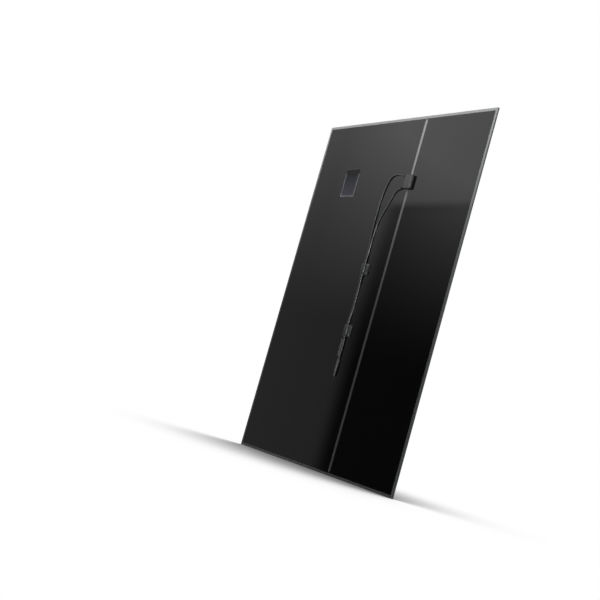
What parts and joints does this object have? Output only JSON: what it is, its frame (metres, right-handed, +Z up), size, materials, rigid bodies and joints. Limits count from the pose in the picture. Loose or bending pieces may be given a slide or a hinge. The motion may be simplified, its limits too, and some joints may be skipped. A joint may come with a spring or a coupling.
{
  "type": "solar panel",
  "caption": "Frameless glass-glass thin-film solar panel with a junction box, two clipped leads with a plug and a socket, and a label on its back.",
  "frame": {"origin": "centre of the laminate, half way through its thickness, where the four rack clamps hold it", "axes": "+X across the width, +Y out of the back glass, where the junction box is, +Z up the length; the cells face -Y"},
  "size_m": [1.2, 0.0218, 1.6],
  "materials": {
    "front_glass": "satin",
    "back_glass": "polished",
    "cell_film": "semi-gloss thin-film coat",
    "encapsulant": "clear",
    "edge_seal": "matt butyl",
    "tinned_copper": "tinned",
    "tape": "matt film",
    "sealant": "matt",
    "bonding_foam": "matt",
    "box_plastic": "fine grain",
    "copper": "bare copper",
    "diode_body": "moulded",
    "rubber": "matt",
    "cable_jacket": "satin jacket",
    "connector_plastic": "fine grain",
    "contact_metal": "tin-plated",
    "clip_plastic": "satin",
    "pin_steel": "drawn",
    "label_film": "printed film"
  },
  "bodies": {
    "panel": {"front_glass": "front_glass", "back_glass": "back_glass", "cell_film": "cell_film", "encapsulant": "encapsulant", "edge_seal": "edge_seal", "positive_bus_bar": "tinned_copper", "negative_bus_bar": "tinned_copper", "positive_foil": "tinned_copper", "negative_foil": "tinned_copper", "insulating_tape": "tape", "hole_seal": "sealant", "jbox_potting": "sealant", "jbox_pad": "bonding_foam", "upper_clip_pad": "bonding_foam", "lower_clip_pad": "bonding_foam", "jbox_base": "box_plastic", "positive_terminal": "copper", "negative_terminal": "copper", "positive_core": "copper", "negative_core": "copper", "bypass_diode": "diode_body", "jbox_gasket": "rubber", "positive_boot": "rubber", "negative_boot": "rubber", "plug_grommet": "rubber", "socket_grommet": "rubber", "socket_ring": "rubber", "positive_lead": "cable_jacket", "negative_lead": "cable_jacket", "plug_housing": "connector_plastic", "socket_housing": "connector_plastic", "plug_contact": "contact_metal", "socket_contact": "contact_metal", "upper_clip_base": "clip_plastic", "lower_clip_base": "clip_plastic", "upper_clip_pin": "pin_steel", "lower_clip_pin": "pin_steel", "rating_label": "label_film"},
    "lid": {"jbox_lid": "box_plastic"},
    "upper_gate": {"upper_clip_gate": "clip_plastic"},
    "lower_gate": {"lower_clip_gate": "clip_plastic"},
    "plug_nut_body": {"plug_nut": "connector_plastic"},
    "socket_nut_body": {"socket_nut": "connector_plastic"}
  },
  "joints": [
    {"name": "jbox_lid_lift", "type": "slide", "parent": "panel", "child": "lid", "axis": [0, 1, 0], "range_m": [0, 0.03]},
    {"name": "upper_gate_swing", "type": "hinge", "parent": "panel", "child": "upper_gate", "pos_m": [0.0097, 0.00985, 0.097], "axis": [0, 0, -1], "range_deg": [0, 110]},
    {"name": "lower_gate_swing", "type": "hinge", "parent": "panel", "child": "lower_gate", "pos_m": [0.0097, 0.00985, -0.182], "axis": [0, 0, -1], "range_deg": [0, 110]},
    {"name": "plug_nut_turn", "type": "hinge", "parent": "panel", "child": "plug_nut_body", "pos_m": [0.004, 0.00965, -0.232], "axis": [0, 0, 1], "continuous": true},
    {"name": "socket_nut_turn", "type": "hinge", "parent": "panel", "child": "socket_nut_body", "pos_m": [-0.0055, 0.00965, -0.322], "axis": [0, 0, 1], "continuous": true}
  ]
}
